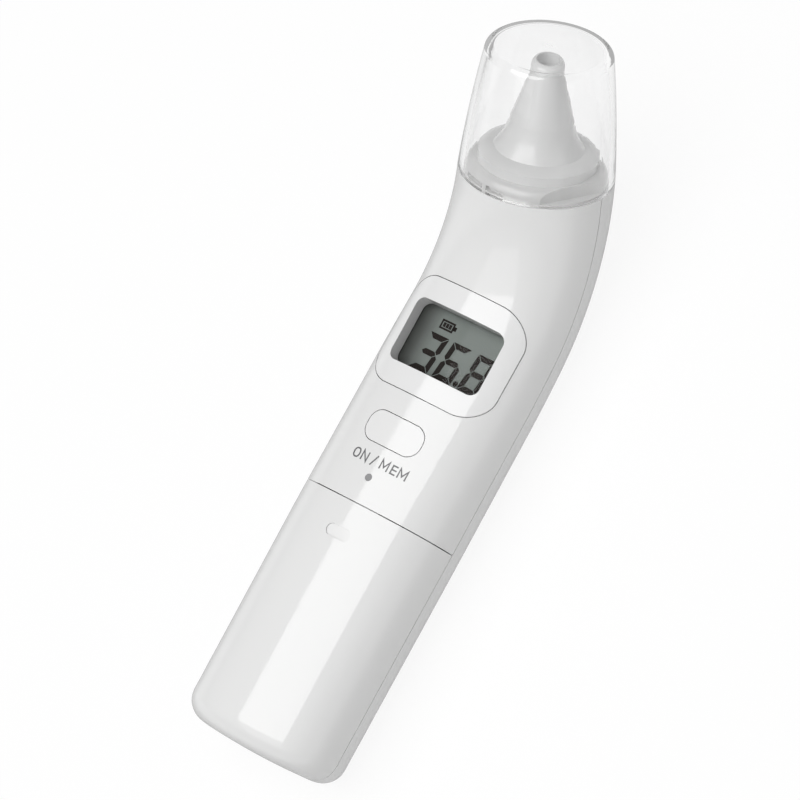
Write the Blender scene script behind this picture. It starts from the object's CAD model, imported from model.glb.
import math

import bmesh
import bpy
from mathutils import Matrix, Vector
from mathutils.bvhtree import BVHTree


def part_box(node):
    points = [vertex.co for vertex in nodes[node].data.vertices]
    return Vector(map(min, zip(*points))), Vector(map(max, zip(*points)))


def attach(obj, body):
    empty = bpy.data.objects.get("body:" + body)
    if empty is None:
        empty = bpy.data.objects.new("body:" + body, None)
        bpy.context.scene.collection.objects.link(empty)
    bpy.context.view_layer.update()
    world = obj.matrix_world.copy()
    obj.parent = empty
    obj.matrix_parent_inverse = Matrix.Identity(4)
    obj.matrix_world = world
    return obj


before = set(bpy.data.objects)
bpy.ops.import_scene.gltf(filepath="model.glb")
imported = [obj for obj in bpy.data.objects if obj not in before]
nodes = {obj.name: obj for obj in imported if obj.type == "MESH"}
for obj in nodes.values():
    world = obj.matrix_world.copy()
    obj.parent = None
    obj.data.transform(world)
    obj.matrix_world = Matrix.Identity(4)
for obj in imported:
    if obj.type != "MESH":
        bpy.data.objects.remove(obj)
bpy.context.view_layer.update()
scene = bpy.context.scene
scene.view_settings.view_transform = "Standard"
mm = 0.001
print("frame loaded:", len(nodes), "nodes")


def startFinish(name):
    finish = bpy.data.materials.new(name)
    finish.use_nodes = True
    tree = finish.node_tree
    return finish, tree, tree.nodes["Principled BSDF"]


# gives a socket a number, a colour or another node's output
def feed(tree, socket, value):
    if isinstance(value, bpy.types.NodeSocket):
        tree.links.new(value, socket)
    elif socket.type == "RGBA":
        socket.default_value = (*value, 1)
    else:
        socket.default_value = value


def addNode(tree, kind, **values):
    node = tree.nodes.new(kind)
    for key, value in values.items():
        if key in node.inputs:
            feed(tree, node.inputs[key], value)
        else:
            setattr(node, key, value)
    return node


def reckon(tree, operation, first, second):
    node = addNode(tree, "ShaderNodeMath", operation=operation)
    feed(tree, node.inputs[0], first)
    feed(tree, node.inputs[1], second)
    return node.outputs["Value"]


# the first of levels where source is at the first of reach, the second where it is at the second
def turnLevels(tree, source, reach, levels, curve="SMOOTHSTEP"):
    turn = addNode(tree, "ShaderNodeMapRange", interpolation_type=curve, Value=source)
    for end, value in zip(("From Min", "From Max", "To Min", "To Max"), (*reach, *levels)):
        feed(tree, turn.inputs[end], value)
    return turn.outputs["Result"]


# off where the switch is 0, on where it is 1
def switchLevels(tree, switch, off, on):
    return turnLevels(tree, switch, (0.0, 1.0), (off, on), "LINEAR")


def noiseOf(tree, scale, detail=4.0, stretch=(1, 1, 1)):
    place = addNode(tree, "ShaderNodeTexCoord")
    stretched = addNode(tree, "ShaderNodeMapping", Vector=place.outputs["Object"], Scale=stretch)
    noise = addNode(tree, "ShaderNodeTexNoise", Vector=stretched.outputs["Vector"],
                    Scale=scale, Detail=detail)
    return noise.outputs["Fac"]


def blendColours(tree, factor, first, second):
    mix = addNode(tree, "ShaderNodeMix", data_type="RGBA", Factor=factor, A=first, B=second)
    return mix.outputs["Result"]


def cloudyColour(tree, cloud, look):
    return blendColours(tree, cloud, look["colour"], look["cloudColour"])


noiseSpan = (0.3, 0.7)  # nearly all of a noise's values lie between these


def addGloss(tree, shader, noise, roughness):
    uneven = turnLevels(tree, noise, noiseSpan, roughness, "LINEAR")
    feed(tree, shader.inputs["Roughness"], uneven)


def addBump(tree, shader, height, depth):
    bump = addNode(tree, "ShaderNodeBump", Distance=depth, Height=height)
    feed(tree, shader.inputs["Normal"], bump.outputs["Normal"])


def mixSurfaces(tree, factor, first, second):
    mix = addNode(tree, "ShaderNodeMixShader", Fac=factor)
    tree.links.new(first, mix.inputs[1])
    tree.links.new(second, mix.inputs[2])
    return mix.outputs["Shader"]


def showSurface(tree, surface):
    tree.links.new(surface, tree.nodes["Material Output"].inputs["Surface"])


# moulded plastic: a faint cloud in the colour, an uneven gloss and a fine skin
plainPlastic = {    # for what a plastic's own look doesn't say
    "cloudScale": 45.0,
    "glossScale": 160.0,
    "glossDetail": 3.0,
    "grainScale": 900.0,
    "grainDetail": 2.0,
    "shine": 0.5,
    "metallic": 0.0,
}


def mouldedPlastic(name, ownLook):
    look = {**plainPlastic, **ownLook}
    finish, tree, shader = startFinish(name)
    cloud = noiseOf(tree, look["cloudScale"])
    feed(tree, shader.inputs["Base Color"], cloudyColour(tree, cloud, look))
    addGloss(tree, shader, noiseOf(tree, look["glossScale"], look["glossDetail"]),
             look["roughness"])
    addBump(tree, shader, noiseOf(tree, look["grainScale"], look["grainDetail"]),
            look["grainDepth"])
    feed(tree, shader.inputs["Specular IOR Level"], look["shine"])
    feed(tree, shader.inputs["Metallic"], look["metallic"])
    return finish


plasticLooks = {
    "casingWhite": {"colour": (0.80, 0.80, 0.795), "cloudColour": (0.78, 0.782, 0.78),
                    "roughness": (0.055, 0.085), "grainDepth": 0.0000012},
    "panelWhite": {"colour": (0.82, 0.82, 0.82), "cloudColour": (0.80, 0.802, 0.80),
                   "roughness": (0.06, 0.09), "grainDepth": 0.0000012},
    "buttonWhite": {"colour": (0.82, 0.82, 0.815), "cloudColour": (0.80, 0.80, 0.80),
                    "roughness": (0.08, 0.12), "grainDepth": 0.0000015},
    "collarGrey": {"colour": (0.78, 0.78, 0.775), "cloudColour": (0.75, 0.75, 0.745),
                   "roughness": (0.10, 0.16), "grainDepth": 0.000002},
    "probeGrey": {"colour": (0.87, 0.87, 0.865), "cloudColour": (0.84, 0.842, 0.84),
                  "roughness": (0.16, 0.24), "grainDepth": 0.000003},
    "innerPlastic": {"colour": (0.62, 0.62, 0.60), "cloudColour": (0.57, 0.57, 0.55),
                     "roughness": (0.4, 0.55), "grainDepth": 0.00001},
    "blackPlastic": {"colour": (0.03, 0.03, 0.032), "cloudColour": (0.045, 0.045, 0.047),
                     "roughness": (0.35, 0.5), "grainDepth": 0.00001},
    "sealRubber": {"colour": (0.05, 0.05, 0.05), "cloudColour": (0.07, 0.07, 0.07),
                   "roughness": (0.5, 0.65), "grainDepth": 0.00001},
    "zebraRubber": {"colour": (0.22, 0.22, 0.22), "cloudColour": (0.08, 0.08, 0.08),
                    "cloudScale": 600.0, "roughness": (0.5, 0.6), "grainDepth": 0.00002},
    "ribbonAmber": {"colour": (0.55, 0.26, 0.06), "cloudColour": (0.48, 0.21, 0.05),
                    "roughness": (0.2, 0.3), "grainDepth": 0.000004},
    "siliconWindow": {"colour": (0.09, 0.09, 0.10), "cloudColour": (0.06, 0.06, 0.07),
                      "roughness": (0.05, 0.1), "grainDepth": 0.000001, "metallic": 0.6},
    "printGrey": {"colour": (0.12, 0.12, 0.125), "cloudColour": (0.15, 0.15, 0.155),
                  "roughness": (0.3, 0.4), "grainDepth": 0.000002},
    "segmentDark": {"colour": (0.022, 0.018, 0.017), "cloudColour": (0.03, 0.026, 0.024),
                    "roughness": (0.8, 0.9), "grainDepth": 0.0000002, "shine": 0.0},
}
finishes = {name: mouldedPlastic(name, look) for name, look in plasticLooks.items()}


# metal with fine lines along one way
metalLines = {"cloudScale": 200.0, "lineScale": 500.0, "lineDetail": 3.0}
metalLooks = {
    "turnedSteel": {"colour": (0.60, 0.60, 0.60), "cloudColour": (0.53, 0.53, 0.54),
                    "roughness": (0.2, 0.34), "stretch": (1, 8, 1), "lineDepth": 0.000006},
    "springSteel": {"colour": (0.68, 0.67, 0.64), "cloudColour": (0.60, 0.59, 0.57),
                    "roughness": (0.14, 0.24), "stretch": (8, 1, 1), "lineDepth": 0.000004},
    "goldTube": {"colour": (0.80, 0.58, 0.25), "cloudColour": (0.72, 0.50, 0.20),
                 "roughness": (0.08, 0.14), "stretch": (1, 1, 6), "lineDepth": 0.000002},
}


def drawnMetal(name, look):
    finish, tree, shader = startFinish(name)
    cloud = noiseOf(tree, metalLines["cloudScale"])
    feed(tree, shader.inputs["Base Color"], cloudyColour(tree, cloud, look))
    lines = noiseOf(tree, metalLines["lineScale"], metalLines["lineDetail"], look["stretch"])
    addGloss(tree, shader, lines, look["roughness"])
    addBump(tree, shader, lines, look["lineDepth"])
    feed(tree, shader.inputs["Metallic"], 1.0)
    return finish


finishes.update({name: drawnMetal(name, look) for name, look in metalLooks.items()})


# green circuit board, its tracks a little lighter and proud of the rest
boardLook = {
    "resist": (0.02, 0.16, 0.07),
    "track": (0.05, 0.26, 0.11),
    "trackWidth": 0.09,     # in the brick pattern's own units
    "patternScale": 420.0,
    "trackHeight": 0.00002,
    "glossScale": 300.0,
    "roughness": (0.25, 0.35),
}


def circuitGreen():
    finish, tree, shader = startFinish("circuitGreen")
    place = addNode(tree, "ShaderNodeTexCoord")
    tracks = addNode(tree, "ShaderNodeTexBrick", Vector=place.outputs["Object"],
                     Scale=boardLook["patternScale"], Color1=boardLook["resist"],
                     Color2=boardLook["resist"], Mortar=boardLook["track"])
    feed(tree, tracks.inputs["Mortar Size"], boardLook["trackWidth"])
    feed(tree, shader.inputs["Base Color"], tracks.outputs["Color"])
    addBump(tree, shader, tracks.outputs["Fac"], boardLook["trackHeight"])
    addGloss(tree, shader, noiseOf(tree, boardLook["glossScale"]), boardLook["roughness"])
    return finish


finishes["circuitGreen"] = circuitGreen()


# 1 for a ray of any of these kinds
def anyRay(tree, *kinds):
    path = addNode(tree, "ShaderNodeLightPath")
    found = path.outputs[kinds[0]]
    for kind in kinds[1:]:
        found = reckon(tree, "MAXIMUM", found, path.outputs[kind])
    return found


# lets the lamps shine through, which clear plastic on its own stops
def letLightThrough(tree, surface, share):
    opening = addNode(tree, "ShaderNodeBsdfTransparent", Color=(share, share, share))
    lighting = anyRay(tree, "Is Shadow Ray", "Is Diffuse Ray")
    return mixSurfaces(tree, lighting, surface, opening.outputs["BSDF"])


# light thrown to and fro inside the wall, more often than deepest, comes out as one even grey
def evenInside(tree, surface, deepest, level):
    path = addNode(tree, "ShaderNodeLightPath")
    deep = reckon(tree, "GREATER_THAN", path.outputs["Ray Depth"], deepest)
    glow = addNode(tree, "ShaderNodeEmission", Strength=level)
    return mixSurfaces(tree, deep, surface, glow.outputs["Emission"])


# clear moulded plastic, with the least trace of flow lines in its gloss
clearFlow = {"cloudScale": 60.0, "flowScale": 120.0, "flowDetail": 3.0, "stretch": (1, 0.3, 1)}
clearLooks = {
    "capClear": {"colour": (1.0, 1.0, 1.0), "cloudColour": (0.996, 0.997, 0.998),
                 "roughness": (0.0, 0.012), "flowDepth": 0.000002, "ior": 1.46,
                 "lightShare": 0.9, "deepest": 5.5, "deepLevel": 0.42},
    "lensClear": {"colour": (0.95, 0.96, 0.955), "cloudColour": (0.94, 0.95, 0.945),
                  "roughness": (0.0, 0.006), "flowDepth": 0.0000002, "ior": 1.16,  # as if coated
                  "lightShare": 0.95, "deepest": 8.5, "deepLevel": 0.2},
}


def clearPlastic(name, look):
    finish, tree, shader = startFinish(name)
    cloud = noiseOf(tree, clearFlow["cloudScale"])
    feed(tree, shader.inputs["Base Color"], cloudyColour(tree, cloud, look))
    flow = noiseOf(tree, clearFlow["flowScale"], clearFlow["flowDetail"], clearFlow["stretch"])
    addGloss(tree, shader, flow, look["roughness"])
    addBump(tree, shader, flow, look["flowDepth"])
    feed(tree, shader.inputs["Transmission Weight"], 1.0)
    feed(tree, shader.inputs["IOR"], look["ior"])
    surface = evenInside(tree, shader.outputs["BSDF"], look["deepest"], look["deepLevel"])
    showSurface(tree, letLightThrough(tree, surface, look["lightShare"]))
    return finish


finishes.update({name: clearPlastic(name, look) for name, look in clearLooks.items()})


# the liquid crystal cell: grey, with a fine weave and a dark seal along its left and its head
cellLook = {
    "colour": (0.225, 0.25, 0.235),
    "cloudColour": (0.20, 0.225, 0.21),
    "cloudScale": 130.0,
    "sealColour": (0.09, 0.095, 0.09),
    "sideSeal": (0.08, 0.29),    # where the seal fades, in shares of the cell's width
    "headSeal": (0.965, 0.90),   # and of its height
    "weaveScale": 5200.0,
    "weaveDetail": 1.0,
    "weaveDepth": 0.000003,
    "roughness": (0.35, 0.5),
    "shine": 0.2,
}


def displayGlass():
    finish, tree, shader = startFinish("displayGlass")
    place = addNode(tree, "ShaderNodeTexCoord")
    across = addNode(tree, "ShaderNodeSeparateXYZ", Vector=place.outputs["Generated"])
    side = turnLevels(tree, across.outputs["X"], cellLook["sideSeal"], (0.0, 1.0))
    head = turnLevels(tree, across.outputs["Y"], cellLook["headSeal"], (0.0, 1.0))
    cloud = noiseOf(tree, cellLook["cloudScale"])
    colour = blendColours(tree, reckon(tree, "MULTIPLY", side, head), cellLook["sealColour"],
                          cloudyColour(tree, cloud, cellLook))
    feed(tree, shader.inputs["Base Color"], colour)
    weave = noiseOf(tree, cellLook["weaveScale"], cellLook["weaveDetail"])
    addGloss(tree, shader, weave, cellLook["roughness"])
    addBump(tree, shader, weave, cellLook["weaveDepth"])
    feed(tree, shader.inputs["Specular IOR Level"], cellLook["shine"])
    return finish


finishes["displayGlass"] = displayGlass()

nodesOfFinish = {
    "casingWhite": ["battery_cover", "front_casing", "rear_casing"],
    "panelWhite": ["display_panel"],
    "buttonWhite": ["on_mem_button", "start_button"],
    "collarGrey": ["neck_collar"],
    "probeGrey": ["probe_base", "probe_nose"],
    "capClear": ["probe_cap"],
    "lensClear": ["display_lens"],
    "displayGlass": ["lcd_glass"],
    "innerPlastic": ["lcd_holder", "battery_tray", "sensor_connector"],
    "zebraRubber": ["zebra_connector"],
    "blackPlastic": ["on_mem_switch", "on_mem_plunger", "start_switch", "start_plunger",
                     "buzzer", "controller_chip", "memory_chip", "sensor_sleeve"],
    "circuitGreen": ["start_switch_board", "circuit_board", "sensor_board"],
    "turnedSteel": ["coin_cell", "crystal", "board_screws", "tray_screws", "casing_screws",
                    "infrared_sensor"],
    "springSteel": ["negative_contact", "positive_contact"],
    "goldTube": ["waveguide", "sensor_pins"],
    "sealRubber": ["probe_seal"],
    "siliconWindow": ["probe_window"],
    "ribbonAmber": ["sensor_ribbon"],
}
for finishName, names in nodesOfFinish.items():
    for name in names:
        mesh = nodes[name].data
        mesh.materials.clear()
        mesh.materials.append(finishes[finishName])
print("finishes on nodes:", sum(len(names) for names in nodesOfFinish.values()))


def middleOf(name):
    low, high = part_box(name)
    return (low + high) / 2


def surfaceOf(name):
    mesh = nodes[name].data
    return BVHTree.FromPolygons([v.co for v in mesh.vertices],
                                [tuple(p.vertices) for p in mesh.polygons])


castHeight = 80.0 * mm  # above everything


def dropOnto(surface, x, y, above):
    hit = surface.ray_cast(Vector((x, y, castHeight)), Vector((0, 0, -1)))[0]
    return Vector((x, y, hit.z + above))


# one thin piece from flat outlines, each point of them put in its place by a function
def flatPiece(name, outlines, place, thickness, finish, body):
    bm = bmesh.new()
    for outline in outlines:
        bm.faces.new([bm.verts.new(place(x, y)) for x, y in outline])
    bmesh.ops.recalc_face_normals(bm, faces=bm.faces)
    for face in bm.faces:
        if face.normal.z < 0:
            face.normal_flip()
    raised = bmesh.ops.extrude_face_region(bm, geom=bm.faces[:])
    moved = [item for item in raised["geom"] if isinstance(item, bmesh.types.BMVert)]
    bmesh.ops.translate(bm, verts=moved, vec=(0, 0, thickness))
    bmesh.ops.recalc_face_normals(bm, faces=bm.faces)
    mesh = bpy.data.meshes.new(name)
    bm.to_mesh(mesh)
    bm.free()
    piece = bpy.data.objects.new(name, mesh)
    scene.collection.objects.link(piece)
    mesh.materials.append(finishes[finish])
    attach(piece, body)


stroke = {
    "step": 0.4 * mm,    # longest quad, so that a line follows a curved surface
    "sharpest": 0.35,    # least cosine at a mitred corner
}


# the quads of a line of even width through points, its corners mitred
def strokeQuads(points, width, closed=False):
    points = [Vector(p) for p in points]
    count = len(points)
    sides = []
    for number, point in enumerate(points):
        before = points[(number - 1) % count] if closed or number > 0 else None
        after = points[(number + 1) % count] if closed or number < count - 1 else None
        ways = [(b - a).normalized() for a, b in ((before, point), (point, after))
                if a is not None and b is not None]
        way = sum(ways, Vector((0, 0))).normalized()
        normal = Vector((-way.y, way.x))
        cosine = normal.dot(Vector((-ways[0].y, ways[0].x)))
        reach = width / 2 / max(stroke["sharpest"], cosine)
        sides.append((point + normal * reach, point - normal * reach))
    quads = []
    for number in range(count if closed else count - 1):
        left, right = sides[number]
        nextLeft, nextRight = sides[(number + 1) % count]
        pieces = max(1, math.ceil((nextLeft - left).length / stroke["step"]))
        for part in range(pieces):
            a, b = part / pieces, (part + 1) / pieces
            quads.append([left.lerp(nextLeft, a), right.lerp(nextRight, a),
                          right.lerp(nextRight, b), left.lerp(nextLeft, b)])
    return quads


# an oval: an ellipse with a power of 2, and squarer with more
def ovalPoints(middle, halfWidth, halfHeight, power=2.4, count=28):
    points = []
    for step in range(count):
        angle = 2 * math.pi * step / count
        cosine, sine = math.cos(angle), math.sin(angle)
        points.append((middle[0] + halfWidth * math.copysign(abs(cosine) ** (2 / power), cosine),
                       middle[1] + halfHeight * math.copysign(abs(sine) ** (2 / power), sine)))
    return points


legend = {
    "up": 3.6 * mm,     # from the sound hole to the middle of the letters
    "capHeight": 2.1 * mm,
    "stroke": 0.32 * mm,
    "glyphs": [("O", -5.45 * mm), ("N", -3.26 * mm), ("/", -0.80 * mm), ("M", 1.91 * mm),
               ("E", 4.34 * mm), ("M", 6.40 * mm)],
    "ovalShare": (0.35, 0.45),      # half the O's width and height, in cap heights
    "armShare": 0.28,               # half the E's width
    "above": 0.012 * mm,
    "thickness": 0.012 * mm,
}
glyphShapes = {     # in cap heights, round the glyph's middle
    "N": ((-0.34, -0.5), (-0.34, 0.5), (0.34, -0.5), (0.34, 0.5)),
    "/": ((-0.25, -0.58), (0.25, 0.58)),
    "M": ((-0.42, -0.5), (-0.42, 0.5), (0.0, -0.22), (0.42, 0.5), (0.42, -0.5)),
}


def glyphQuads(glyph, x, y):
    height, width = legend["capHeight"], legend["stroke"]
    if glyph == "O":
        halfWidth, halfHeight = (share * height for share in legend["ovalShare"])
        return strokeQuads(ovalPoints((x, y), halfWidth, halfHeight), width, closed=True)
    if glyph == "E":
        half = height / 2
        bar = half - width / 2
        arm = legend["armShare"] * height
        quads = strokeQuads([(x - arm, y - half), (x - arm, y + half)], width)
        for up in (-bar, 0, bar):
            quads += strokeQuads([(x - arm, y + up), (x + arm, y + up)], width)
        return quads
    return strokeQuads([(x + a * height, y + b * height) for a, b in glyphShapes[glyph]], width)


def makeLegend():
    y = middleOf("buzzer").y + legend["up"]
    quads = []
    for glyph, x in legend["glyphs"]:
        quads += glyphQuads(glyph, x, y)
    casing = surfaceOf("front_casing")
    flatPiece("on_mem_legend", quads, lambda x, y: dropOnto(casing, x, y, legend["above"]),
              legend["thickness"], "printGrey", "thermometer")


makeLegend()
print("legend printed")


# the digits and the battery sign, placed from the middle of the display glass
display = {
    "slant": 0.12,          # sideways lean of the digits for each unit of height
    "digitWidth": 4.9 * mm,
    "digitHeight": 8.5 * mm,
    "bar": 1.22 * mm,
    "gap": 0.1 * mm,
    "foot": -6.58 * mm,
    "lefts": {"3": -8.6 * mm, "6": -2.5 * mm, "8": 4.1 * mm},
    "pointAt": (3.45 * mm, -5.75 * mm),
    "pointSize": 0.58 * mm,
    "above": 0.005 * mm,
    "thickness": 0.01 * mm,
}
battery = {
    "sides": (-6.2 * mm, -3.2 * mm),
    "foot": 3.4 * mm,
    "head": 5.1 * mm,
    "line": 0.42 * mm,
    "nubHalf": 0.45 * mm,       # half the height of the nub at its right end
    "marks": 3,
    "markHalf": 0.32 * mm,      # half a mark's width
    "markMargin": 0.35 * mm,    # from a mark's ends to the middle of the line
}
barsOf = {"3": "abcdg", "6": "acdefg", "8": "abcdefg"}  # a to f clockwise from the top, g across


# the seven bars of a digit, upright, with pointed or slanted ends that leave thin gaps
def digitBars(which):
    wide, high, thick, gap = (display[key] for key in ("digitWidth", "digitHeight", "bar", "gap"))
    waist, half = high / 2, thick / 2
    top = [(gap, high), (wide - gap, high), (wide - thick - gap, high - thick),
           (thick + gap, high - thick)]
    upperLeft = [(0, high - gap), (thick, high - thick - gap), (thick, waist + half + gap),
                 (half, waist + gap), (0, waist + half + gap)]
    across = [(half + gap, waist), (thick + gap, waist + half), (wide - thick - gap, waist + half),
              (wide - half - gap, waist), (wide - thick - gap, waist - half),
              (thick + gap, waist - half)]
    lowerLeft = [(x, high - y) for x, y in upperLeft]
    bars = {
        "a": top,
        "b": [(wide - x, y) for x, y in upperLeft],
        "c": [(wide - x, y) for x, y in lowerLeft],
        "d": [(x, high - y) for x, y in top],
        "e": lowerLeft,
        "f": upperLeft,
        "g": across,
    }
    return [bars[letter] for letter in barsOf[which]]


def batteryOutlines(middle):
    left, right = (middle.x + side for side in battery["sides"])
    foot, head = middle.y + battery["foot"], middle.y + battery["head"]
    line = battery["line"]
    outlines = strokeQuads([(left, foot), (right, foot), (right, head), (left, head)], line, True)
    waist = (foot + head) / 2
    nub = [(right + line, waist + side * battery["nubHalf"]) for side in (-1, 1)]
    outlines += strokeQuads(nub, 2 * line)
    half, margin = battery["markHalf"], battery["markMargin"]
    apart = (right - left) / (battery["marks"] + 1)
    for number in range(battery["marks"]):
        x = left + apart * (number + 1)
        outlines.append([(x - half, foot + margin), (x + half, foot + margin),
                         (x + half, head - margin), (x - half, head - margin)])
    return outlines


def makeDigits():
    middle = middleOf("lcd_glass")
    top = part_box("lcd_glass")[1].z + display["above"]
    foot = middle.y + display["foot"]
    outlines = []
    for which, left in display["lefts"].items():
        for bar in digitBars(which):
            outlines.append([(middle.x + left + x + y * display["slant"], foot + y)
                             for x, y in bar])
    across, up = display["pointAt"]
    outlines.append(ovalPoints((middle.x + across, middle.y + up), display["pointSize"],
                               display["pointSize"]))
    outlines += batteryOutlines(middle)
    flatPiece("display_digits", outlines, lambda x, y: Vector((x, y, top)),
              display["thickness"], "segmentDark", "thermometer")


makeDigits()
print("display drawn")


# the gauze in the sound hole, over the buzzer
gauze = {
    "radius": 0.79 * mm,
    "rimShare": 1.3,        # where the hole's rim is felt for, in radii
    "below": 0.12 * mm,     # under the rim
    "thickness": 0.1 * mm,
    "colour": (0.26, 0.26, 0.265),
    "cloudColour": (0.34, 0.34, 0.345),
    "weaveScale": 2400.0,
    "unevenness": 1.0,
    "weaveDepth": 0.00002,
    "roughness": 0.7,
}


def gauzeGrey():
    finish, tree, shader = startFinish("gauzeGrey")
    place = addNode(tree, "ShaderNodeTexCoord")
    weave = addNode(tree, "ShaderNodeTexWave", Vector=place.outputs["Object"],
                    Scale=gauze["weaveScale"], Distortion=gauze["unevenness"])
    feed(tree, shader.inputs["Base Color"], cloudyColour(tree, weave.outputs["Fac"], gauze))
    addBump(tree, shader, weave.outputs["Fac"], gauze["weaveDepth"])
    feed(tree, shader.inputs["Roughness"], gauze["roughness"])
    return finish


def makeGauze():
    at = middleOf("buzzer").xy
    rimX = at.x + gauze["rimShare"] * gauze["radius"]
    level = dropOnto(surfaceOf("front_casing"), rimX, at.y, -gauze["below"]).z
    outline = ovalPoints(at, gauze["radius"], gauze["radius"], power=2.0, count=32)
    flatPiece("sound_gauze", [outline], lambda x, y: Vector((x, y, level)),
              -gauze["thickness"], "gauzeGrey", "thermometer")


finishes["gauzeGrey"] = gauzeGrey()
makeGauze()
print("sound gauze in place")


studio = {      # sizes in metres, and levels with 1 as white
    "floorSize": 6.0,
    "floorColour": (0.93, 0.93, 0.93),
    "floorRoughness": 0.6,
    "floorGlow": 0.90,          # share of the floor that shows white whatever the light
    "nearReach": (0.07, 0.16),  # how far from the object's middle near turns into far
    "nearMiddle": 0.03,         # that middle, towards the head
    "nearStretch": 0.62,        # width over length of what counts as near
    "clearFar": 0.30,           # the far floor's level through clear plastic, 1 for the near floor
    "glossNear": 0.45,          # the near floor's level in gloss, 1 for the far floor
    "boxHeight": 0.80,
    "boxAcross": (-0.452, 0.29),
    "boxes": {"softBox": (-0.30, 0.28, 3.4),    # from and to along Y, and level
              "weakBox": (-0.95, -0.30, 0.85)},
    "wallLevels": (0.24, 0.42),     # of the studio's wall towards -X and towards +X
    "wallTurn": (-0.7, 0.5),        # where one turns into the other, by direction
    "sweep": (0.08, 0.35),          # height of direction over which the white backdrop ends
    "wallInClear": 0.45,            # share of that white that clear plastic shows
}


# 1 for what the camera sees straight or in gloss, clearShare for what it sees through clear
# plastic, and 0 for light on the object
def seenDirectly(tree, clearShare=1.0):
    path = addNode(tree, "ShaderNodeLightPath")
    noDiffuse = reckon(tree, "LESS_THAN", path.outputs["Diffuse Depth"], 0.5)
    seen = reckon(tree, "MULTIPLY", noDiffuse,
                  anyRay(tree, "Is Camera Ray", "Is Glossy Ray", "Is Transmission Ray"))
    share = switchLevels(tree, path.outputs["Is Transmission Ray"], 1.0, clearShare)
    return reckon(tree, "MULTIPLY", seen, share)


# mostly white where it is seen, with a share left to the light for the object's shadow
def paleFloor():
    finish, tree, shader = startFinish("paleFloor")
    feed(tree, shader.inputs["Base Color"], studio["floorColour"])
    feed(tree, shader.inputs["Roughness"], studio["floorRoughness"])
    stretch = studio["nearStretch"]
    place = addNode(tree, "ShaderNodeTexCoord")
    shape = addNode(tree, "ShaderNodeMapping", Vector=place.outputs["Object"],
                    Location=(0, -studio["nearMiddle"] * stretch, 0), Scale=(1, stretch, 1))
    away = addNode(tree, "ShaderNodeVectorMath", operation="LENGTH")
    tree.links.new(shape.outputs["Vector"], away.inputs[0])
    distance = away.outputs["Value"]
    inClear = turnLevels(tree, distance, studio["nearReach"], (1.0, studio["clearFar"]))
    inGloss = turnLevels(tree, distance, studio["nearReach"], (studio["glossNear"], 1.0))
    inEither = switchLevels(tree, anyRay(tree, "Is Transmission Ray"), inGloss, inClear)
    level = switchLevels(tree, anyRay(tree, "Is Glossy Ray", "Is Transmission Ray"), 1.0, inEither)
    glow = addNode(tree, "ShaderNodeEmission", Strength=level)
    share = reckon(tree, "MULTIPLY", seenDirectly(tree), studio["floorGlow"])
    showSurface(tree, mixSurfaces(tree, share, shader.outputs["BSDF"], glow.outputs["Emission"]))
    return finish


def makeFloor():
    bm = bmesh.new()
    reach = studio["floorSize"] / 2
    bm.faces.new([bm.verts.new((x * reach, y * reach, 0))
                  for x, y in ((-1, -1), (1, -1), (1, 1), (-1, 1))])
    mesh = bpy.data.meshes.new("floor")
    bm.to_mesh(mesh)
    bm.free()
    mesh.materials.append(paleFloor())
    floor = bpy.data.objects.new("floor", mesh)
    scene.collection.objects.link(floor)


def makeLights():
    low, high = studio["boxAcross"]
    for name, (near, far, level) in studio["boxes"].items():
        lamp = bpy.data.lights.new(name, "AREA")
        lamp.shape = "RECTANGLE"
        lamp.size = high - low
        lamp.size_y = far - near
        lamp.energy = level * math.pi * lamp.size * lamp.size_y     # watts for that level
        holder = bpy.data.objects.new(name, lamp)
        holder.location = ((low + high) / 2, (near + far) / 2, studio["boxHeight"])
        scene.collection.objects.link(holder)


# the studio's walls, and low down a white backdrop that is only seen and lights nothing
def makeWorld():
    world = bpy.data.worlds.new("studio")
    scene.world = world
    world.use_nodes = True
    tree = world.node_tree
    place = addNode(tree, "ShaderNodeTexCoord")
    way = addNode(tree, "ShaderNodeSeparateXYZ", Vector=place.outputs["Generated"])
    wall = turnLevels(tree, way.outputs["X"], studio["wallTurn"], studio["wallLevels"])
    backdrop = turnLevels(tree, way.outputs["Z"], studio["sweep"], (1.0, 0.0))
    white = reckon(tree, "MULTIPLY", seenDirectly(tree, studio["wallInClear"]), backdrop)
    sky = tree.nodes["Background"]
    feed(tree, sky.inputs["Color"], (1, 1, 1))
    feed(tree, sky.inputs["Strength"], switchLevels(tree, white, wall, 1.0))


view = {        # distances in metres, angles in degrees
    "target": (0.0, 25.0 * mm, 13.1 * mm),
    "distance": 0.9,
    "azimuth": 29.93,   # from straight above the display towards +X
    "pitch": -3.4,      # towards the foot
    "roll": 28.59,
    "lens": 197.24,     # in millimetres, as the sensor is
    "sensor": 36.0,
    "shift": (-0.0396, 0.0401),
    "nearest": 0.01,
}


def makeCamera():
    turn, pitch, roll = (math.radians(view[key]) for key in ("azimuth", "pitch", "roll"))
    away = Vector((math.cos(pitch) * math.sin(turn), math.sin(pitch),
                   math.cos(pitch) * math.cos(turn)))
    across = Vector((math.cos(turn), 0, -math.sin(turn)))
    up = away.cross(across)
    right = math.cos(roll) * across + math.sin(roll) * up
    top = away.cross(right)
    camera = bpy.data.cameras.new("camera")
    camera.lens = view["lens"]
    camera.sensor_width = view["sensor"]
    camera.shift_x, camera.shift_y = view["shift"]
    camera.clip_start = view["nearest"]
    holder = bpy.data.objects.new("camera", camera)
    place = Vector(view["target"]) + away * view["distance"]
    turned = Matrix((right, top, away)).transposed().to_4x4()
    holder.matrix_world = Matrix.Translation(place) @ turned
    scene.collection.objects.link(holder)
    scene.camera = holder


makeFloor()
makeLights()
makeWorld()
makeCamera()
print("stage set")

bpy.context.view_layer.update()
